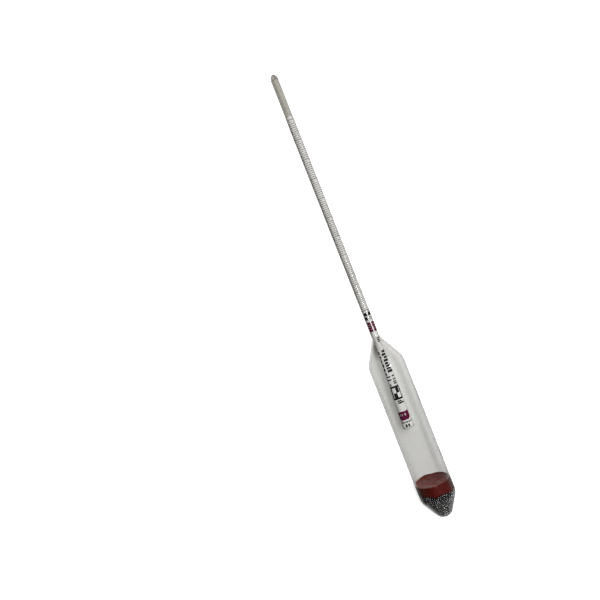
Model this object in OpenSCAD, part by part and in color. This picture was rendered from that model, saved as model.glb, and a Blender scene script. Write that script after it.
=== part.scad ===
// Glass hydrometer for reading the density of a liquid, such as wort or must.
// It lies on a table: the origin is on the table under the middle of its length,
// +X runs along its axis from the weighted nose to the tip of the stem, and +Z is up.
// Each piece is first drawn upright, as it floats, with the nose at the origin and the stem up +Z.

/* [Overall] */
// Length from the nose to the tip of the stem
total_length = 335; // [310:1:340]
// Wall of the glass in the stem and the bulb
glass_wall = 0.8; // [0.6:0.05:1]

/* [Stem] */
// Outside diameter of the stem
stem_d = 5.8; // [5.5:0.1:7]
// Thickness of the glass at the sealed tip
tip_glass = 3.2; // [1.5:0.1:4]

/* [Bulb] */
// Outside diameter of the barrel
bulb_d = 26.2; // [25:0.1:30]
// Height above the nose at which the stem is fused to the bulb
neck_height = 138; // [125:1:150]
// Slope of the shoulder against the axis, in degrees
shoulder_angle = 29; // [26:1:36]
// Radius of the bend between the shoulder and the barrel
shoulder_r = 12; // [6:1:12]
// Radius of the hollow bend between the shoulder and the stem
neck_r = 4; // [2:0.5:6]
// Slope of the nose against the axis, in degrees
nose_angle = 30; // [28:1:36]
// Radius of the rounded nose
nose_r = 7.5; // [6:0.5:9]
// Radius of the bend between the nose and the barrel
nose_bend_r = 8; // [5:1:11]

/* [Ballast] */
// Height of the shot above the nose, on the axis
shot_height = 19; // [16:0.5:22]
// Height of the wax above the nose, on the axis
wax_height = 27; // [25:0.5:32]
// Tilt of the shot and of the wax, which set while the bulb leaned, in degrees
ballast_tilt = 5; // [0:1:7]

/* [Scale paper] */
// Height above the nose of the top of the paper
paper_top = 302.5; // [280:0.5:303]
// Height above the nose of the free end of the paper, inside the bulb
paper_end = 68; // [50:1:90]
// Outside diameter of the roll at its free end, where it springs open
roll_end_d = 8.4; // [6:0.2:11]
// Lean of the roll inside the bulb, in degrees
roll_lean = 1.2; // [0:0.1:2]
// Thickness of the rolled paper
paper_t = 0.2; // [0.15:0.05:0.3]
// Room between the paper and the bore of the stem
paper_gap = 0.05; // [0.03:0.01:0.1]

/* [Hidden] */

$fn = 96;

glass_colour = [0.8, 0.84, 0.83, 0.35];
paper_colour = [0.9, 0.88, 0.83];
wax_colour = [0.38, 0.08, 0.06];
shot_colour = [0.3, 0.29, 0.29];

stem_r = stem_d / 2;
bore_r = stem_r - glass_wall;
bulb_r = bulb_d / 2;

// Straight stretch of the bulb's neck below the joint with the stem
straight_neck = 1.5;

// Directions square to the nose and to the shoulder, pointing out of the glass
nose_out = [cos(nose_angle), -sin(nose_angle)];
shoulder_out = [cos(shoulder_angle), sin(shoulder_angle)];

// Centres of the outline's arcs, as [radius, height]
nose_centre = [0, nose_r];
nose_bend_reach = (bulb_r - nose_bend_r) * nose_out.x - nose_r + nose_bend_r;
nose_bend_centre = [bulb_r - nose_bend_r, nose_r + nose_bend_reach / sin(nose_angle)];
neck_centre = [stem_r + neck_r, neck_height - straight_neck];
shoulder_reach = neck_r + shoulder_r + (bulb_r - shoulder_r - neck_centre.x) * shoulder_out.x;
shoulder_centre = [bulb_r - shoulder_r, neck_centre.y - shoulder_reach / sin(shoulder_angle)];

// The roll leaves the stem here and starts to open out
roll_start = neck_centre.y;
roll_length = roll_start - paper_end;

// Lays an upright piece on the table, with its axis one barrel radius above it
module lay_down() {
    translate([-total_length / 2, 0, bulb_r]) rotate([0, 90, 0]) children();
}

// Half of the bulb's outline, solid to the axis, with its surface moved in by inset
module bulb_outline(inset) {
    nose_arc = nose_r - inset;
    nose_bend_arc = nose_bend_r - inset;
    shoulder_arc = shoulder_r - inset;
    neck_arc = neck_r + inset;
    intersection() {
        difference() {
            union() {
                translate(nose_centre) circle(nose_arc);
                translate(nose_bend_centre) circle(nose_bend_arc);
                translate(shoulder_centre) circle(shoulder_arc);
                polygon([
                    nose_centre,
                    nose_centre + nose_arc * nose_out,
                    nose_bend_centre + nose_bend_arc * nose_out,
                    nose_bend_centre + [nose_bend_arc, 0],
                    shoulder_centre + [shoulder_arc, 0],
                    shoulder_centre + shoulder_arc * shoulder_out,
                    neck_centre - neck_arc * shoulder_out,
                    neck_centre - [neck_arc, 0],
                    [stem_r - inset, neck_height],
                    [0, neck_height]
                ]);
            }
            translate(neck_centre) circle(neck_arc);
        }
        square([bulb_r, neck_height]);
    }
}

// The space inside the bulb
module bulb_cavity() {
    rotate_extrude() bulb_outline(glass_wall);
}

// Everything below a plane that crosses the axis at the given height, tilted with the ballast
module below_level(height) {
    translate([0, 0, height]) rotate([ballast_tilt, 0, 0]) translate([0, 0, -total_length / 2])
        cube([2 * bulb_d, 2 * bulb_d, total_length], center = true);
}

// Half of the outline of a round-tipped rod from the joint up to tip_height, solid to the axis
module stem_outline(radius, tip_height) {
    straight_length = tip_height - radius - neck_height;
    square([radius, straight_length]);
    intersection() {
        translate([0, straight_length]) circle(radius);
        square([radius, total_length]);
    }
}

// Thin-walled tube sealed at the top, open at the bottom where it is fused to the bulb
module stem_tube() {
    color(glass_colour) lay_down() translate([0, 0, neck_height]) rotate_extrude() difference() {
        stem_outline(stem_r, total_length);
        stem_outline(bore_r, total_length - tip_glass);
    }
}

// Blown bulb: shoulder, barrel and rounded nose in one wall
module bulb() {
    color(glass_colour) lay_down() rotate_extrude() difference() {
        bulb_outline(0);
        bulb_outline(glass_wall);
    }
}

// Solid roll with its surface moved in by inset, straight in the stem and opening out in the bulb.
// It runs past both ends of the paper by past_end, which lets it cut the inside of the roll.
module roll(inset, past_end) {
    straight_r = bore_r - paper_gap - inset;
    end_r = roll_end_d / 2 - inset;
    widening = (end_r - straight_r) / roll_length;
    length_below = roll_length + past_end;
    translate([0, 0, roll_start]) {
        cylinder(r = straight_r, h = paper_top - roll_start + past_end);
        rotate([roll_lean, 0, 0]) translate([0, 0, -length_below])
            cylinder(r1 = straight_r + widening * length_below, r2 = straight_r, h = length_below);
    }
}

// One rolled sheet: the scale inside the stem, and below it the label, free inside the bulb
module scale_paper() {
    color(paper_colour) lay_down() difference() {
        roll(0, 0);
        roll(paper_t, 1);
    }
}

// Plug of sealing wax, poured on the shot to hold it
module sealing_wax() {
    color(wax_colour) lay_down() difference() {
        intersection() {
            bulb_cavity();
            below_level(wax_height);
        }
        below_level(shot_height);
    }
}

// The shot as one solid that fills the space of the packed balls
module lead_shot() {
    color(shot_colour) lay_down() intersection() {
        bulb_cavity();
        below_level(shot_height);
    }
}

stem_tube();
bulb();
scale_paper();
sealing_wax();
lead_shot();
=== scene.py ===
"""Looks of the glass hydrometer: the glass, the printed scale paper, the sealing wax and the lead shot."""

import math
import random

import bmesh
import bpy
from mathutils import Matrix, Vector, noise


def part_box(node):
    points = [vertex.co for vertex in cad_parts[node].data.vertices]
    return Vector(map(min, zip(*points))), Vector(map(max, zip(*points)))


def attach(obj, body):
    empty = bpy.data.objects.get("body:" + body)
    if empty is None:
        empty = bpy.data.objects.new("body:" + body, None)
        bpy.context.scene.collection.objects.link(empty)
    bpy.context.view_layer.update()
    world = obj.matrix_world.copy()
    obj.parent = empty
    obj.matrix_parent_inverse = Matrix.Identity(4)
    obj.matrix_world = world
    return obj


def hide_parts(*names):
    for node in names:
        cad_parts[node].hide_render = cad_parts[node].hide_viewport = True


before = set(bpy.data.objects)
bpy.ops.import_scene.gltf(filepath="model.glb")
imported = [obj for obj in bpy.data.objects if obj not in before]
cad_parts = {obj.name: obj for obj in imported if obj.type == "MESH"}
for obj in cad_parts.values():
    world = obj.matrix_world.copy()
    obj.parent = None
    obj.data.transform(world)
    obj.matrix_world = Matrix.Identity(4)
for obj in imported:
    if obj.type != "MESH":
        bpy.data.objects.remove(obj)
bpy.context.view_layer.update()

# ---------------------------------------------------------------- places, from the frame

MM = 0.001
bulb_low, bulb_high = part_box("bulb")
stem_low, stem_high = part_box("stem_tube")
paper_low, paper_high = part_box("scale_paper")

NOSE_X = bulb_low.x
AXIS_Z = (bulb_low.z + bulb_high.z) / 2
BARREL_R = (bulb_high.z - bulb_low.z) / 2
STEM_R = (stem_high.z - stem_low.z) / 2
LENGTH = stem_high.x - NOSE_X
NECK_H = bulb_high.x - NOSE_X
PAPER_TOP = paper_high.x - NOSE_X
PAPER_END = paper_low.x - NOSE_X

# ---------------------------------------------------------------- the glass outline, as in the CAD model

WALL = 0.8 * MM
TIP_GLASS = 3.2 * MM
NOSE_R = 7.5 * MM
NOSE_BEND_R = 8 * MM
SHOULDER_R = 12 * MM
NECK_R = 4 * MM
STRAIGHT_NECK = 1.5 * MM
NOSE_ANGLE = math.radians(30)
SHOULDER_ANGLE = math.radians(29)

# Centres of the outline's arcs, as (radius, height)
NOSE_BEND_REACH = (BARREL_R - NOSE_BEND_R) * math.cos(NOSE_ANGLE) - NOSE_R + NOSE_BEND_R
NOSE_BEND_C = (BARREL_R - NOSE_BEND_R, NOSE_R + NOSE_BEND_REACH / math.sin(NOSE_ANGLE))
NECK_C = (STEM_R + NECK_R, NECK_H - STRAIGHT_NECK)
SHOULDER_REACH = NECK_R + SHOULDER_R + (BARREL_R - SHOULDER_R - NECK_C[0]) * math.cos(SHOULDER_ANGLE)
SHOULDER_C = (BARREL_R - SHOULDER_R, NECK_C[1] - SHOULDER_REACH / math.sin(SHOULDER_ANGLE))


def arc(centre, radius, start, end, steps):
    """Points (radius, height) along an arc; angles in degrees from straight out of the axis."""
    angles = [math.radians(start + (end - start) * i / steps) for i in range(steps + 1)]
    return [(centre[0] + radius * math.cos(a), centre[1] + radius * math.sin(a)) for a in angles]


def bulb_outline(inset):
    """The bulb's outline from the nose to the neck, with its surface moved in by inset."""
    nose = math.degrees(NOSE_ANGLE)
    shoulder = math.degrees(SHOULDER_ANGLE)
    return (
        arc((0, NOSE_R), NOSE_R - inset, -90, -nose, 24)
        + arc(NOSE_BEND_C, NOSE_BEND_R - inset, -nose, 0, 12)
        + arc(SHOULDER_C, SHOULDER_R - inset, 0, shoulder, 12)
        + arc(NECK_C, NECK_R + inset, 180 + shoulder, 180, 10)
    )


def tip_outline(radius, top, length, power):
    """A tip drawn out to a blunt point: an ellipse at power 1, and slimmer towards the point above that."""
    quarter = [math.pi / 2 * i / 16 for i in range(17)]
    return [(radius * math.cos(a) ** power, top - length + length * math.sin(a) ** power) for a in quarter]


def with_rings(points, spacing):
    """The same outline, with points added so that none are further apart than spacing."""
    out = [points[0]]
    for a, b in zip(points, points[1:]):
        steps = max(1, math.ceil(math.dist(a, b) / spacing))
        for i in range(1, steps + 1):
            out.append((a[0] + (b[0] - a[0]) * i / steps, a[1] + (b[1] - a[1]) * i / steps))
    return out


def radius_at(outline, height):
    """The outline's radius at a height, between its points."""
    for a, b in zip(outline, outline[1:]):
        if a[1] <= height <= b[1] and b[1] > a[1]:
            return a[0] + (b[0] - a[0]) * (height - a[1]) / (b[1] - a[1])
    return 0.0


def place(radius, height, angle):
    """A point on a ring about the axis. Angle 0 is the top of the instrument, and it grows towards +Y."""
    return Vector((NOSE_X + height, radius * math.sin(angle), AXIS_Z + radius * math.cos(angle)))


# ---------------------------------------------------------------- mesh helpers


def new_piece(name, verts, faces, material, smooth=True):
    """A mesh object that rides on the part's one body."""
    mesh = bpy.data.meshes.new(name)
    mesh.from_pydata(verts, [], faces)
    mesh.validate()
    mesh.update()
    mesh.polygons.foreach_set("use_smooth", [smooth] * len(mesh.polygons))
    mesh.materials.append(material)
    piece = bpy.data.objects.new(name, mesh)
    bpy.context.scene.collection.objects.link(piece)
    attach(piece, "root")
    return piece


def lathe(outline, segments, radius_of, flip):
    """A closed surface of revolution from pole to pole.
    radius_of(radius, height, angle) gives each point's own radius."""
    first, last = outline[0], outline[-1]
    verts = [place(0, first[1], 0)]
    for r, h in outline[1:-1]:
        for s in range(segments):
            angle = 2 * math.pi * s / segments
            verts.append(place(radius_of(r, h, angle), h, angle))
    verts.append(place(0, last[1], 0))
    rings = len(outline) - 2
    faces = []
    for s in range(segments):
        t = (s + 1) % segments
        faces.append((0, 1 + s, 1 + t))
        for k in range(rings - 1):
            a, b = 1 + k * segments, 1 + (k + 1) * segments
            faces.append((a + s, b + s, b + t, a + t))
        end = 1 + (rings - 1) * segments
        faces.append((end + s, len(verts) - 1, end + t))
    return verts, [tuple(reversed(f)) for f in faces] if flip else faces


def joined(parts):
    """Several (verts, faces) as one."""
    verts, faces = [], []
    for v, f in parts:
        base = len(verts)
        verts += v
        faces += [tuple(base + i for i in face) for face in f]
    return verts, faces


# ---------------------------------------------------------------- material helpers


def new_material(name):
    """A node material with its Principled shader: (material, node tree, shader)."""
    material = bpy.data.materials.new(name)
    material.use_nodes = True
    tree = material.node_tree
    return material, tree, tree.nodes["Principled BSDF"]


def grey(level):
    """A neutral colour."""
    return (level, level, level)


def position(tree):
    """The object coordinates, in metres."""
    return tree.nodes.new("ShaderNodeTexCoord").outputs["Object"]


def normal(tree):
    """The way that the surface faces, in object coordinates."""
    return tree.nodes.new("ShaderNodeTexCoord").outputs["Normal"]


def parts_of(tree, vector):
    """The X, Y and Z of a vector."""
    node = tree.nodes.new("ShaderNodeSeparateXYZ")
    tree.links.new(vector, node.inputs["Vector"])
    return node.outputs


def along(tree, vector, direction):
    """How far a vector goes in a direction."""
    node = tree.nodes.new("ShaderNodeVectorMath")
    node.operation = "DOT_PRODUCT"
    node.inputs[1].default_value = direction
    tree.links.new(vector, node.inputs[0])
    return node.outputs["Value"]


def scaled_position(tree, scale, offset=(0, 0, 0)):
    """The object coordinates, scaled on each axis and then moved by offset."""
    node = tree.nodes.new("ShaderNodeMapping")
    node.inputs["Scale"].default_value = scale
    node.inputs["Location"].default_value = offset
    tree.links.new(position(tree), node.inputs["Vector"])
    return node.outputs["Vector"]


def noise_node(tree, size, detail, roughness=0.55, stretch=(1, 1, 1)):
    """Noise whose blobs are about size metres across, and longer on an axis whose stretch is under 1."""
    node = tree.nodes.new("ShaderNodeTexNoise")
    node.inputs["Scale"].default_value = 1
    node.inputs["Detail"].default_value = detail
    node.inputs["Roughness"].default_value = roughness
    tree.links.new(scaled_position(tree, [k / size for k in stretch]), node.inputs["Vector"])
    return node.outputs["Fac"]


def ramp(tree, value, stops):
    """A colour ramp over value, with (place, colour) stops."""
    node = tree.nodes.new("ShaderNodeValToRGB")
    elements = node.color_ramp.elements
    while len(elements) < len(stops):
        elements.new(0.5)
    for element, (at, colour) in zip(elements, stops):
        element.position = at
        element.color = (*colour, 1)
    tree.links.new(value, node.inputs["Fac"])
    return node.outputs["Color"]


def to_range(tree, value, low, high):
    """value from 0 to 1, mapped to low to high."""
    node = tree.nodes.new("ShaderNodeMapRange")
    node.inputs["To Min"].default_value = low
    node.inputs["To Max"].default_value = high
    tree.links.new(value, node.inputs["Value"])
    return node.outputs["Result"]


def to_range_from(tree, value, low, high):
    """value from low to high, mapped to 0 to 1."""
    node = tree.nodes.new("ShaderNodeMapRange")
    node.inputs["From Min"].default_value = low
    node.inputs["From Max"].default_value = high
    tree.links.new(value, node.inputs["Value"])
    return node.outputs["Result"]


def product(tree, a, b):
    """The product of two numbers."""
    node = tree.nodes.new("ShaderNodeMath")
    node.operation = "MULTIPLY"
    tree.links.new(a, node.inputs[0])
    tree.links.new(b, node.inputs[1])
    return node.outputs["Value"]


def multiply(tree, colour, by, factor=None):
    """The product of two colours, taken in as far as factor says, or fully."""
    node = tree.nodes.new("ShaderNodeMix")
    node.data_type = "RGBA"
    node.blend_type = "MULTIPLY"
    node.inputs["Factor"].default_value = 1
    if factor is not None:
        tree.links.new(factor, node.inputs["Factor"])
    tree.links.new(colour, node.inputs["A"])
    tree.links.new(by, node.inputs["B"])
    return node.outputs["Result"]


def blend(tree, factor, a, b):
    """The colour a where factor is 0, and b where it is 1."""
    node = tree.nodes.new("ShaderNodeMix")
    node.data_type = "RGBA"
    tree.links.new(factor, node.inputs["Factor"])
    tree.links.new(a, node.inputs["A"])
    tree.links.new(b, node.inputs["B"])
    return node.outputs["Result"]


def blend_shaders(tree, factor, a, b):
    """The shader a where factor is 0, and b where it is 1."""
    node = tree.nodes.new("ShaderNodeMixShader")
    tree.links.new(factor, node.inputs["Fac"])
    tree.links.new(a, node.inputs[1])
    tree.links.new(b, node.inputs[2])
    return node.outputs["Shader"]


def bump(tree, shader, height, distance):
    """A bump of that depth in metres on the shader's normal."""
    node = tree.nodes.new("ShaderNodeBump")
    node.inputs["Distance"].default_value = distance
    tree.links.new(height, node.inputs["Height"])
    tree.links.new(node.outputs["Normal"], shader.inputs["Normal"])


# ---------------------------------------------------------------- materials


def glass_tint(tree):
    """The glass's own colour: neutral in the blown bulb, a little smoky in the drawn stem, and darker in the
    drop that seals its tip. The stem's tint comes in at the neck and is a little cloudy."""
    bulb, stem, drop = (0.955, 0.955, 0.95), (0.755, 0.74, 0.71), (0.64, 0.62, 0.59)
    x = parts_of(tree, position(tree))["X"]
    joint = NOSE_X + NECK_H
    drawn = tree.nodes.new("ShaderNodeMath")
    drawn.operation = "MULTIPLY_ADD"
    drawn.inputs[1].default_value = 0.8
    tree.links.new(to_range_from(tree, x, joint - 20 * MM, joint + 4 * MM), drawn.inputs[0])
    tree.links.new(to_range(tree, noise_node(tree, 12 * MM, 2), 0, 0.2), drawn.inputs[2])
    tint = ramp(tree, drawn.outputs["Value"], [(0.0, bulb), (1.0, stem)])
    tip = NOSE_X + LENGTH
    near_tip = to_range_from(tree, x, tip - 4 * MM, tip - 2.8 * MM)
    return multiply(tree, tint, ramp(tree, near_tip, [(0.0, grey(1)), (1.0, drop)]))


def let_light_in(tree, surface):
    """Lets lamps and bounced light go straight through, dimmer where they graze the glass, so that what is
    inside it and under it is lit."""
    head_on, slanting, grazing = (0.965, 0.965, 0.96), (0.75, 0.75, 0.745), grey(0.1)
    facing = tree.nodes.new("ShaderNodeLayerWeight").outputs["Facing"]
    through = tree.nodes.new("ShaderNodeBsdfTransparent")
    colour = ramp(tree, facing, [(0.45, head_on), (0.75, slanting), (1.0, grazing)])
    tree.links.new(colour, through.inputs["Color"])
    path = tree.nodes.new("ShaderNodeLightPath")
    for ray in ("Is Shadow Ray", "Is Diffuse Ray"):
        surface = blend_shaders(tree, path.outputs[ray], surface, through.outputs["BSDF"])
    return surface


def glass_material():
    """Clear lab glass with slight waves and handling haze."""
    material, tree, shader = new_material("glass")
    shader.inputs["Transmission Weight"].default_value = 1
    shader.inputs["IOR"].default_value = 1.5
    tree.links.new(glass_tint(tree), shader.inputs["Base Color"])
    tree.links.new(to_range(tree, noise_node(tree, 6 * MM, 4), 0, 0.03), shader.inputs["Roughness"])
    bump(tree, shader, noise_node(tree, 6 * MM, 1, stretch=(0.3, 1, 1)), 0.01 * MM)
    output = tree.nodes["Material Output"]
    tree.links.new(let_light_in(tree, shader.outputs["BSDF"]), output.inputs["Surface"])
    body = tree.nodes.new("ShaderNodeVolumeAbsorption")
    body.inputs["Color"].default_value = (0.6, 0.6, 0.585, 1)
    body.inputs["Density"].default_value = 80
    tree.links.new(body.outputs["Volume"], output.inputs["Volume"])
    return material


def paper_material():
    """Uncoated off-white paper: fibres, a slight yellowing in clouds and a soft tooth."""
    material, tree, shader = new_material("paper")
    yellowed, clean = (0.625, 0.62, 0.61), (0.69, 0.69, 0.685)
    colour = ramp(tree, noise_node(tree, 9 * MM, 3), [(0.3, yellowed), (0.7, clean)])
    tree.links.new(colour, shader.inputs["Base Color"])
    fibres = noise_node(tree, 0.25 * MM, 6, 0.7, stretch=(0.3, 1, 1))
    tree.links.new(to_range(tree, fibres, 0.75, 0.95), shader.inputs["Roughness"])
    bump(tree, shader, fibres, 0.01 * MM)
    return material


def ink_material(name, dark, light):
    """Printed ink, a little uneven where the paper's fibres show through."""
    material, tree, shader = new_material(name)
    fibres = noise_node(tree, 0.3 * MM, 5, 0.7)
    tree.links.new(ramp(tree, fibres, [(0.35, dark), (0.75, light)]), shader.inputs["Base Color"])
    tree.links.new(to_range(tree, fibres, 0.65, 0.9), shader.inputs["Roughness"])
    shader.inputs["Specular IOR Level"].default_value = 0.1
    return material


def wax_material():
    """Deep red-brown sealing wax with streaks and fine pits, and a paler skin where it set in the open.
    The skin's paleness is partly its own colour and partly a painted sheen, which is palest at the upper
    side, towards +Y."""
    material, tree, shader = new_material("wax")
    streaks = noise_node(tree, 7 * MM, 4, stretch=(0.6, 1, 1))
    body = ramp(tree, streaks, [(0.3, (0.035, 0.0026, 0.002)), (0.7, (0.072, 0.0062, 0.0045))])
    skin = ramp(tree, streaks, [(0.3, (0.16, 0.03, 0.024)), (0.7, (0.25, 0.055, 0.044))])
    in_the_open = to_range_from(tree, parts_of(tree, normal(tree))["X"], 0.5, 0.9)
    # Painted sheen: the skin is made palest towards the upper, +Y side
    upward = along(tree, position(tree), (0, 0.7, 1))
    upper_painted_sheen = to_range_from(tree, upward, AXIS_Z - 1.6 * BARREL_R, AXIS_Z + 0.5 * BARREL_R)
    colour = blend(tree, product(tree, in_the_open, upper_painted_sheen), body, skin)
    tree.links.new(colour, shader.inputs["Base Color"])
    pits = noise_node(tree, 0.9 * MM, 4)
    tree.links.new(to_range(tree, pits, 0.25, 0.5), shader.inputs["Roughness"])
    shader.inputs["Specular IOR Level"].default_value = 0.15
    bump(tree, shader, pits, 0.03 * MM)
    return material


def shot_material():
    """Graphite-grey lead: metal under a dull film that varies from ball to ball, with a painted highlight:
    each ball is a brighter metal on its side towards the lamps.
    """
    material, tree, shader = new_material("shot")
    shader.inputs["Metallic"].default_value = 1
    per_ball = noise_node(tree, 1.6 * MM, 1)
    film = ramp(tree, per_ball, [(0.35, grey(0.02)), (0.65, (0.06, 0.059, 0.06))])
    painted_highlight_colour = ramp(tree, per_ball, [(0.35, (0.1, 0.098, 0.1)), (0.65, (0.42, 0.41, 0.42))])
    # Painted highlight: a fixed direction towards the lamps, where each ball is given a brighter metal
    # colour
    painted_highlight_side = (0.3, -0.17, 0.94)
    painted_highlight_cap = to_range_from(tree, along(tree, normal(tree), painted_highlight_side), 0.88, 0.965)
    tree.links.new(blend(tree, painted_highlight_cap, film, painted_highlight_colour), shader.inputs["Base Color"])
    tree.links.new(to_range(tree, per_ball, 0.42, 0.34), shader.inputs["Roughness"])
    bump(tree, shader, noise_node(tree, 0.35 * MM, 3), 0.01 * MM)
    return material


GLASS = glass_material()
PAPER = paper_material()
BLACK_INK = ink_material("black_ink", (0.006, 0.006, 0.007), (0.02, 0.02, 0.022))
RED_INK = ink_material("red_ink", (0.07, 0.002, 0.024), (0.13, 0.012, 0.055))
WAX = wax_material()
SHOT = shot_material()

# ---------------------------------------------------------------- glass

TIP_LENGTH = 3.9 * MM
BORE_TIP_LENGTH = 2.2 * MM
SKIN_WAVE = 0.03 * MM
WALL_WAVE = 0.09 * MM
NOSE_THINNING = 0.3 * MM


def outer_radius(r, h, angle):
    """Blown glass is never quite round: the skin dips by up to twice SKIN_WAVE and never stands proud."""
    wave = noise.noise(Vector((h / (14 * MM), math.cos(angle) * 1.3, math.sin(angle) * 1.3)))
    return r - min(1, r / BARREL_R) * SKIN_WAVE * (1 + wave)


def inner_radius(r, h, angle):
    """The inside follows loosely, so that the wall is a little uneven, and it is thinner at the nose."""
    wave = noise.noise(Vector((h / (9 * MM) + 40, math.cos(angle) * 1.6, math.sin(angle) * 1.6)))
    thinning = NOSE_THINNING * min(1, max(0, (30 * MM - h) / (10 * MM)))
    return r + min(1, r / BARREL_R) * WALL_WAVE * wave + min(1, r / (5 * MM)) * thinning


def glass_body():
    """Stem and bulb as the one fused, blown wall that they are: an outer skin and the sealed inner one."""
    segments = 128
    tip = tip_outline(STEM_R, LENGTH, TIP_LENGTH, 1.35)
    bore_tip = tip_outline(STEM_R - WALL, LENGTH - TIP_GLASS, BORE_TIP_LENGTH, 1)
    outer = with_rings(bulb_outline(0) + tip, 2 * MM)
    inner = with_rings(bulb_outline(WALL) + bore_tip, 2 * MM)
    verts, faces = joined([
        lathe(outer, segments, outer_radius, flip=False),
        lathe(inner, segments, inner_radius, flip=True),
    ])
    piece = new_piece("glass_body", verts, faces, GLASS)
    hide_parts("stem_tube", "bulb")


# ---------------------------------------------------------------- scale paper

PAPER_T = 0.12 * MM
# How far the sheet reaches past the bore, so that it looks as if it touches the glass
PAPER_PRESS = 0.04 * MM
ROLL_STRAIGHT_R = STEM_R - WALL + PAPER_PRESS
ROLL_END_R = (paper_high.z - paper_low.z) / 2
ROLL_START = NECK_C[1]
ROLL_LEAN = math.radians(1.2)
TUCK = math.radians(50)
TUCK_BEND = math.radians(25)


def roll_radius(height):
    """The roll's outside radius: straight in the stem, opening out to its free end."""
    down = max(0, ROLL_START - height) / (ROLL_START - PAPER_END)
    return ROLL_STRAIGHT_R + (ROLL_END_R - ROLL_STRAIGHT_R) * down


def on_roll(height, angle, lift=0.0):
    """A point on the roll's outside, or lift above it, leaning towards +Y below the stem."""
    point = place(roll_radius(height) + lift, height, angle)
    point.y += max(0, ROLL_START - height) * math.tan(ROLL_LEAN)
    return point


def sheet_point(height, share, depth):
    """A point of the sheet, by its share of the way round: from the outer edge, at the bottom of the
    instrument, to the inner edge tucked under it."""
    turned = (2 * math.pi + TUCK) * share
    under = max(0, turned - 2 * math.pi + TUCK_BEND) / (TUCK + TUCK_BEND)
    sink = min(1, 2.2 * under) * 1.3 * PAPER_T
    return on_roll(height, math.pi + turned, -sink - depth)


def scale_paper():
    """One sheet rolled up, as a closed shell: rows of outer points, each followed by its inner ones."""
    around, bulb_rows, stem_rows = 72, 30, 60
    heights = [PAPER_END + (ROLL_START - PAPER_END) * i / bulb_rows for i in range(bulb_rows)]
    heights += [ROLL_START + (PAPER_TOP - ROLL_START) * i / stem_rows for i in range(stem_rows + 1)]
    verts = []
    for h in heights:
        for depth in (0, PAPER_T):
            verts += [sheet_point(h, k / around, depth) for k in range(around + 1)]
    inner = around + 1
    row = 2 * inner
    last = (len(heights) - 1) * row
    faces = []
    for base in range(0, last, row):
        for k in range(around):
            a, b = base + k, base + row + k
            faces.append((a, a + 1, b + 1, b))
            faces.append((a + inner, b + inner, b + inner + 1, a + inner + 1))
        a, b = base, base + row
        faces.append((a, b, b + inner, a + inner))
        a, b = base + around, base + row + around
        faces.append((a, a + inner, b + inner, b))
    for k in range(around):
        faces.append((k, k + inner, k + inner + 1, k + 1))
        a = last + k
        faces.append((a, a + 1, a + inner + 1, a + inner))
    piece = new_piece("rolled_scale_paper", verts, faces, PAPER)
    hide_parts("scale_paper")


# ---------------------------------------------------------------- print

INK_LIFT = 0.012 * MM
INK_T = 0.012 * MM
TOP_MARK_H = 300 * MM
END_MARK_H = 156 * MM
END_DENSITY = 1.05
DIVISION = 0.0005
TWIST = math.radians(26)


def mark_height(density):
    """Where the surface of a liquid of that density cuts the stem.
    The marks are evenly spaced in the volume that the instrument displaces."""
    reach = (TOP_MARK_H - END_MARK_H) / (1 - 1 / END_DENSITY)
    return TOP_MARK_H - reach * (1 - 1 / density)


def twist(height):
    """How far the sheet has turned towards +Y in the stem, from its top edge down."""
    return TWIST * min(1, max(0, (TOP_MARK_H - height) / (TOP_MARK_H - END_MARK_H)))


class Print:
    """Ink of one colour on the roll, gathered into one thin closed mesh.
    Heights and widths are in millimetres, and angles in degrees from the top towards +Y."""

    def __init__(self):
        self.verts, self.faces = [], []

    def sheet(self, flat, faces):
        """Adds ink given as flat points (height in metres, angle in radians) and its faces."""
        base, count = len(self.verts), len(flat)
        for lift in (INK_LIFT + INK_T, INK_LIFT):
            self.verts += [on_roll(height, angle, lift) for height, angle in flat]
        edges = set()
        for face in faces:
            self.faces.append(tuple(base + i for i in face))
            self.faces.append(tuple(base + count + i for i in reversed(face)))
            edges.update(zip(face, face[1:] + face[:1]))
        for a, b in sorted(edges):
            if (b, a) not in edges:
                self.faces.append((base + b, base + a, base + count + a, base + count + b))

    def bar(self, low, high, right, left):
        """A block between two heights and two angles."""
        steps = max(1, math.ceil((left - right) / 6))
        flat = []
        for i in range(steps + 1):
            angle = math.radians(right + (left - right) * i / steps)
            flat += [(low * MM, angle), (high * MM, angle)]
        self.sheet(flat, [(2 * i, 2 * i + 1, 2 * i + 3, 2 * i + 2) for i in range(steps)])

    def line(self, height, width, right, left):
        """A line round the roll, with its middle at height."""
        self.bar(height - width / 2, height + width / 2, right, left)

    def row(self, high, low, right, left, block, gap, seed):
        """A line of print that runs along the roll, as plain blocks with gaps between them."""
        draw = random.Random(seed)
        while high - block > low:
            inset = draw.choice((0, 0, 0.2, 0.35)) * (left - right)
            size = block * draw.uniform(0.75, 1.1)
            right_end = right + inset * draw.choice((0, 1))
            left_end = left - inset * draw.choice((0, 1))
            self.bar(high - size, high, right_end, left_end)
            high -= size + gap

    def figures(self, text, height, angle, size):
        """Figures that read upright with the stem up, from a starting angle towards -Y."""
        shape = figure_faces(text, size * MM)
        start = math.radians(angle)
        radius = roll_radius(height * MM)
        half_height = 0.36 * size * MM
        flat = [(height * MM + v.co.y - half_height, start - v.co.x / radius) for v in shape.verts]
        shape.verts.index_update()
        self.sheet(flat, [tuple(v.index for v in f.verts) for f in shape.faces])
        shape.free()

    def piece(self, name, material, slot):
        """The gathered ink as one Blender piece."""
        return new_piece(name, self.verts, self.faces, material, smooth=False)


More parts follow.
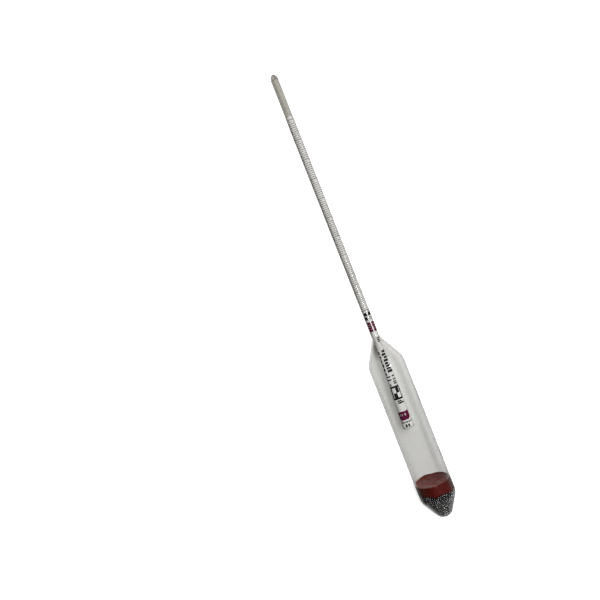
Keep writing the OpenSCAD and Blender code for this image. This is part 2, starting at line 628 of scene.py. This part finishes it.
def figure_faces(text, size):
    """Flat figures as a bmesh, cut into strips narrow enough to wrap round the stem."""
    curve = bpy.data.curves.new("figures", "FONT")
    curve.body = text
    curve.size = size
    curve.resolution_u = 3
    curve.offset = 0.012 * size
    carrier = bpy.data.objects.new("figures", curve)
    bpy.context.scene.collection.objects.link(carrier)
    bpy.context.view_layer.update()
    mesh = bpy.data.meshes.new_from_object(carrier.evaluated_get(bpy.context.evaluated_depsgraph_get()))
    bpy.data.objects.remove(carrier)
    shape = bmesh.new()
    shape.from_mesh(mesh)
    strip = 0.2 * MM
    for i in range(1, math.ceil(max(v.co.x for v in shape.verts) / strip)):
        every = shape.verts[:] + shape.edges[:] + shape.faces[:]
        bmesh.ops.bisect_plane(shape, geom=every, plane_co=(i * strip, 0, 0), plane_no=(1, 0, 0))
    return shape


def print_scale(black):
    """Divisions of 0.0005 from 1.000 to 1.050, numbered each 0.005.
    The division under each number is short, which leaves the number room."""
    divisions = round((END_DENSITY - 1) / DIVISION)
    for i in range(divisions + 1):
        density = 1 + i * DIVISION
        height = mark_height(density) / MM
        turn = math.degrees(twist(height * MM))
        if i % 10 == 0:
            black.line(height, 0.42, -150, 150)
            black.figures(f"{density:.3f}", height - 1.3, turn - 46, 1.35)
        elif i % 10 == 1:
            black.line(height, 0.33, turn - 16, turn + 50)
        elif i % 2 == 0:
            black.line(height, 0.33, turn - 80, turn + 62)
        else:
            black.line(height, 0.31, turn - 72, turn + 50)


def print_class_band(black, red):
    """Plain black blocks under the scale, and under them a maroon band of four rows in two columns."""
    end = END_MARK_H / MM
    black.bar(end - 4.2, end - 1.7, 8, 62)
    black.bar(end - 7.3, end - 4.9, 20, 82)
    black.bar(end - 4.2, end - 1.7, -80, -13)
    black.bar(end - 5.5, end - 5.0, -76, -16)
    black.bar(end - 6.8, end - 6.3, -76, -16)
    for top, bottom in ((8.8, 10.75), (10.9, 12.3), (12.45, 13.9), (14.05, 15.95)):
        red.bar(end - bottom, end - top, -80, -15)
        red.bar(end - bottom, end - top, 1, 76)


def print_chequer(black):
    """A framed chequer of two squares."""
    low, high, middle, rim = 89.4, 99.3, 94.2, 1.3
    right, left = -58, 68
    black.bar(high - rim, high, right, left)
    black.bar(low, low + rim, right, left)
    black.bar(low + rim, high - rim, right, right + 14)
    black.bar(low + rim, high - rim, left - 18, left)
    black.bar(middle, high - rim, -36, 2)
    black.bar(low + rim, middle, -2, 42)


def print_patch(red):
    """A maroon patch that narrows to its foot, with a row of plain gaps in it."""
    right, left = -50, 80
    red.bar(79.0, 80.6, right, left)
    red.bar(76.1, 77.5, right, left)
    red.bar(75.2, 76.1, -44, 72)
    red.bar(74.4, 75.2, -32, 58)
    for block_right, block_left in ((52, left), (30, 46), (2, 24), (right, -8)):
        red.bar(77.5, 79.0, block_right, block_left)


def print_label(black, red):
    """Plain print on the wide roll: rows of blocks, rings, the chequer, the patch and marks at the foot."""
    black.row(135.2, 131.2, -58, -4, 0.95, 0.35, 3)
    black.row(125.6, 109.0, -66, 16, 1.75, 0.5, 5)
    black.row(125, 106.5, 42, 80, 2.2, 1.0, 6)
    for height in (106.4, 104.1):
        black.line(height, 0.9, 6, 66)
        black.line(height, 0.9, -62, -12)
    black.row(102.8, 100.0, -52, -6, 1.0, 0.35, 8)
    black.bar(99.8, 101.2, 30, 48)
    print_chequer(black)
    black.row(88.8, 86.2, -48, 26, 1.05, 0.3, 9)
    print_patch(red)
    for angle in range(-46, 64, 22):
        black.bar(72.2, 73.5, angle, angle + 14)
    black.bar(69.2, 71.4, -12, 5)
    black.bar(69.2, 71.4, 13, 31)


def prints():
    """All the print on the sheet, one piece for each ink."""
    black, red = Print(), Print()
    print_scale(black)
    print_class_band(black, red)
    print_label(black, red)
    black.piece("black_print", BLACK_INK, "ink")
    red.piece("maroon_print", RED_INK, "red_ink")


# ---------------------------------------------------------------- ballast

BALLAST_TILT = math.radians(5)
SHOT_H = 19 * MM
WAX_H = 26.6 * MM
WAX_TILT = math.radians(1.5)
WAX_DIP = 0.06
BEAD_R = 0.74 * MM
# How far the balls and the wax reach past the inside outline, so that they look as if they touch the glass
BEAD_PRESS = 0.44 * MM
WET = 0.42 * MM
WAX_RIM_R = BARREL_R - WALL + WET
INSIDE = with_rings(bulb_outline(WALL), 0.5 * MM)


def level(height, y):
    """A height of the ballast at a distance to +Y, which leans as the ballast does."""
    return height + y * math.tan(BALLAST_TILT)


def wax_foot(angle):
    """Height of the wax's lower edge on the glass, where it has run down unevenly between the balls."""
    round_glass = Vector((math.cos(angle), math.sin(angle), 0))
    run = 1.0 * noise.noise(round_glass * 2.2 + Vector((3, 1, 0)))
    run += 1.4 * noise.noise(round_glass * 7 + Vector((0, 0, 9)))
    return level(SHOT_H + 0.2 * MM, BARREL_R * math.sin(angle)) + run * MM


def ball(subdivisions):
    """A unit ball as (verts, faces)."""
    shape = bmesh.new()
    bmesh.ops.create_icosphere(shape, subdivisions=subdivisions, radius=1)
    verts = [v.co.copy() for v in shape.verts]
    faces = [tuple(v.index for v in f.verts) for f in shape.faces]
    shape.free()
    return verts, faces


def lead_shot():
    """Balls packed in shells that follow the glass, from the wall in to the axis."""
    draw = random.Random(11)
    ball_verts, ball_faces = ball(2)
    shells, shell_turn = 9, 0.31
    row_step, ball_step = 0.88 * 2 * BEAD_R, 1.02 * 2 * BEAD_R
    wall_shell = WALL - BEAD_PRESS + BEAD_R
    highest = SHOT_H + BARREL_R / 4
    parts = []
    for shell in range(shells):
        path = with_rings(bulb_outline(wall_shell + shell * row_step), 0.1 * MM)
        travelled, due, row = 0.0, 0.0, 0
        for a, b in zip(path, path[1:]):
            travelled += math.dist(a, b)
            if travelled < due or b[1] > highest:
                continue
            due += row_step
            row += 1
            count = max(1, math.floor(2 * math.pi * b[0] / ball_step))
            radius = b[0] if b[0] > 0.6 * BEAD_R else 0
            for i in range(count):
                turn = i + 0.5 * (row % 2) + shell_turn * shell + draw.uniform(-0.08, 0.08)
                angle = 2 * math.pi * turn / count
                centre = place(radius, b[1] + draw.uniform(-0.1, 0.1) * BEAD_R, angle)
                top = wax_foot(angle) + 0.4 * BEAD_R if shell == 0 else level(SHOT_H, centre.y) - BEAD_R
                if centre.x - NOSE_X > top:
                    continue
                size = BEAD_R * draw.uniform(0.94, 1.0)
                parts.append(([centre + v * size for v in ball_verts], ball_faces))
    verts, faces = joined(parts)
    piece = new_piece("lead_balls", verts, faces, SHOT)
    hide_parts("lead_shot")
    return piece


def wax_top(r, angle):
    """Height of the wax's open skin, which sags in the middle, ripples, and climbs the glass at its edge."""
    climb, climb_width = 0.9 * MM, 1.5 * MM
    y = r * math.sin(angle)
    ripple = noise.noise(Vector((r * math.cos(angle), y, 3 * MM)) / (4.5 * MM))
    sag = 0.5 * (r / WAX_RIM_R) ** 2 - 0.6
    slope = y * math.tan(WAX_TILT) - r * math.cos(angle) * WAX_DIP
    return WAX_H + slope + (sag + 0.4 * ripple) * MM + climb * math.exp((r - WAX_RIM_R) / climb_width)


def sealing_wax():
    """The plug: a hollow glossy top that climbs the glass, and a foot that runs in among the balls."""
    segments, top_rings, side_rings, foot_rings = 180, 30, 12, 6
    angles = [2 * math.pi * s / segments for s in range(segments)]
    verts = []
    for ring in range(1, top_rings + 1):
        r = WAX_RIM_R * math.sin(math.pi / 2 * ring / top_rings)
        verts += [place(r, wax_top(r, angle), angle) for angle in angles]
    for ring in range(1, side_rings + 1):
        for angle in angles:
            top = wax_top(WAX_RIM_R, angle)
            height = top + (wax_foot(angle) - top) * ring / side_rings
            verts.append(place(radius_at(INSIDE, height) + WET, height, angle))
    edges = verts[-segments:]
    for ring in range(1, foot_rings + 1):
        shrink = 1 - ring / (foot_rings + 1)
        for edge in edges:
            y, z = edge.y * shrink, (edge.z - AXIS_Z) * shrink
            height = level(SHOT_H, y) + (edge.x - NOSE_X - level(SHOT_H, edge.y)) * shrink**4
            verts.append(Vector((NOSE_X + height, y, AXIS_Z + z)))
    top_pole, foot_pole = len(verts), len(verts) + 1
    verts.append(place(0, wax_top(0, 0), 0))
    verts.append(place(0, SHOT_H, 0))
    last_ring = top_pole - segments
    faces = []
    for s in range(segments):
        t = (s + 1) % segments
        faces.append((top_pole, t, s))
        for a in range(0, last_ring, segments):
            b = a + segments
            faces.append((a + s, a + t, b + t, b + s))
        faces.append((last_ring + s, last_ring + t, foot_pole))
    piece = new_piece("wax_plug", verts, faces, WAX)
    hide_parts("sealing_wax")


# ---------------------------------------------------------------- studio


def painted_light_along(tree, x):
    """Painted light and shade along the instrument on the floor that the glass sees: lightest under the
    shoulder.
    """
    # Painted light and shade, not the floor's own colour
    nose, barrel, shoulder, tip = (0.91, 0.91, 0.92), grey(0.98), grey(1.12), (0.8, 0.8, 0.78)
    stops = [(0.0, nose), (0.2, barrel), (0.32, shoulder), (0.39, shoulder)]
    stops += [(0.46, grey(1)), (0.77, grey(1)), (1.0, tip)]
    return ramp(tree, to_range_from(tree, x, -0.15, 0.15), stops)


def neck_shade(tree):
    """The shade of the neck, where the glass is thickest, on the side away from the lamps."""
    centre = (NOSE_X + NECK_H - 11 * MM, 2.8 * MM, 0)
    reach = (11 * MM, 4 * MM, 1)
    offset = [-c / r for c, r in zip(centre, reach)]
    distance = tree.nodes.new("ShaderNodeVectorMath")
    distance.operation = "LENGTH"
    tree.links.new(scaled_position(tree, [1 / r for r in reach], offset), distance.inputs[0])
    return ramp(tree, distance.outputs["Value"], [(0.2, (0.33, 0.33, 0.3)), (1.0, grey(1))])


def painted_floor_light(tree):
    """The floor as the glass sees it, all painted light and shade: a pale lit strip under the instrument,
    between darker sides, with painted shade beside the stem and at the neck.
    """
    pale, dim, dark = (0.45, 0.45, 0.447), (0.25, 0.25, 0.247), (0.06, 0.06, 0.055)
    spot = parts_of(tree, position(tree))
    across = to_range_from(tree, spot["Y"], -0.05, 0.05)
    stops = [(0.0, dim), (0.25, dim), (0.44, pale), (0.56, pale), (0.75, dim), (1.0, dark)]
    strip = ramp(tree, across, stops)
    beside = to_range_from(tree, spot["Y"], -3 * MM, 3 * MM)
    # Painted shade on the +Y side under the stem, and painted light on the -Y side
    stem_shade = ramp(tree, beside, [(0.2, grey(1.12)), (0.9, (0.72, 0.72, 0.71))])
    under_stem = to_range_from(tree, spot["X"], -0.02, 0.03)
    lengthwise = multiply(tree, painted_light_along(tree, spot["X"]), stem_shade, under_stem)
    return multiply(tree, multiply(tree, strip, lengthwise), neck_shade(tree))


def floor_material():
    """Pale floor paint. The camera sees it burnt out. The glass sees instead a painted pattern of light and
    shade, which also glows.
    """
    material, tree, shader = new_material("floor")
    clouds = noise_node(tree, 0.5, 2)
    colour = ramp(tree, clouds, [(0.3, grey(0.90)), (0.7, grey(0.92))])
    tree.links.new(colour, shader.inputs["Base Color"])
    shader.inputs["Roughness"].default_value = 0.9
    shader.inputs["Specular IOR Level"].default_value = 0.1
    shader.inputs["Emission Color"].default_value = (1, 1, 1, 1)
    shader.inputs["Emission Strength"].default_value = 0.8
    glowing_painted_floor = tree.nodes.new("ShaderNodeBsdfPrincipled")
    glowing_painted_floor.inputs["Roughness"].default_value = 1
    glowing_painted_floor.inputs["Specular IOR Level"].default_value = 0
    glowing_painted_floor.inputs["Emission Strength"].default_value = 0.8
    # Painted light and shade, used as both the colour and the glow that the glass sees
    painted_light_and_shade = painted_floor_light(tree)
    tree.links.new(painted_light_and_shade, glowing_painted_floor.inputs["Base Color"])
    tree.links.new(painted_light_and_shade, glowing_painted_floor.inputs["Emission Color"])
    to_camera = tree.nodes.new("ShaderNodeLightPath").outputs["Is Camera Ray"]
    surface = blend_shaders(tree, to_camera, glowing_painted_floor.outputs["BSDF"], shader.outputs["BSDF"])
    tree.links.new(surface, tree.nodes["Material Output"].inputs["Surface"])
    return material


def floor():
    """A plain floor, wide enough for every view."""
    mesh = bpy.data.meshes.new("floor")
    reach = 4.0
    corners = [(-reach, -reach, 0), (reach, -reach, 0), (reach, reach, 0), (-reach, reach, 0)]
    mesh.from_pydata(corners, [], [(0, 1, 2, 3)])
    mesh.materials.append(floor_material())
    plane = bpy.data.objects.new("floor", mesh)
    bpy.context.scene.collection.objects.link(plane)


def softbox(name, location, size, power, mirrored):
    """A rectangular lamp aimed at the instrument.
    One that isn't mirrored lights it but shows in no reflection."""
    lamp = bpy.data.lights.new(name, "AREA")
    lamp.shape = "RECTANGLE"
    lamp.size, lamp.size_y = size
    lamp.energy = power
    holder = bpy.data.objects.new(name, lamp)
    holder.location = location
    holder.rotation_euler = (-Vector(location)).to_track_quat("-Z", "Y").to_euler()
    holder.visible_glossy = mirrored
    holder.visible_transmission = mirrored
    bpy.context.scene.collection.objects.link(holder)
    return holder


def lamps(shot):
    """A soft lamp on the -Y side, a compact one that draws the highlights, and one that lights only the shot
    and gives its balls their glints."""
    softbox("soft", (0.35, -0.35, 1.55), (0.8, 0.8), 32, mirrored=False)
    softbox("key", (-0.03, -0.28, 1.08), (0.2, 0.25), 2.1, mirrored=True)
    glint = softbox("glint", (0.2, -0.5, 1.05), (0.6, 0.6), 24, mirrored=True)
    only_shot = bpy.data.collections.new("only_shot")
    only_shot.objects.link(shot)
    glint.light_linking.receiver_collection = only_shot


def room():
    """A dim room, lighter low down and on the -Y side. The camera sees it as a pale wall."""
    world = bpy.data.worlds.new("room")
    world.use_nodes = True
    tree = world.node_tree
    direction = parts_of(tree, tree.nodes.new("ShaderNodeTexCoord").outputs["Generated"])
    upward = [(0.0, grey(0.36)), (0.35, grey(0.2)), (0.7, grey(0.07)), (1.0, grey(0.05))]
    sideways = [(0.1, grey(0.6)), (0.9, (0.35, 0.35, 0.3))]
    high = ramp(tree, direction["Z"], upward)
    across = ramp(tree, to_range_from(tree, direction["Y"], -1, 1), sideways)
    seen = tree.nodes.new("ShaderNodeMix")
    seen.data_type = "RGBA"
    seen.inputs["B"].default_value = (0.92, 0.92, 0.92, 1)
    tree.links.new(tree.nodes.new("ShaderNodeLightPath").outputs["Is Camera Ray"], seen.inputs["Factor"])
    tree.links.new(multiply(tree, high, across), seen.inputs["A"])
    tree.links.new(seen.outputs["Result"], tree.nodes["Background"].inputs["Color"])
    bpy.context.scene.world = world


def view_settings():
    """Plain colours, as a photograph on white shows them."""
    view = bpy.context.scene.view_settings
    view.view_transform = "Standard"
    view.look = "None"


def camera():
    """Straight above, turned so that the instrument runs from the upper left to the lower right."""
    data = bpy.data.cameras.new("camera")
    data.sensor_width, data.lens = 36, 39
    holder = bpy.data.objects.new("camera", data)
    distance = 0.459
    holder.location = (0.0121, 0.0402, AXIS_Z + distance)
    holder.rotation_euler = (0, 0, math.radians(-111.5))
    bpy.context.scene.collection.objects.link(holder)
    bpy.context.scene.camera = holder


camera()
floor()
glass_body()
scale_paper()
prints()
sealing_wax()
lamps(lead_shot())
room()
view_settings()
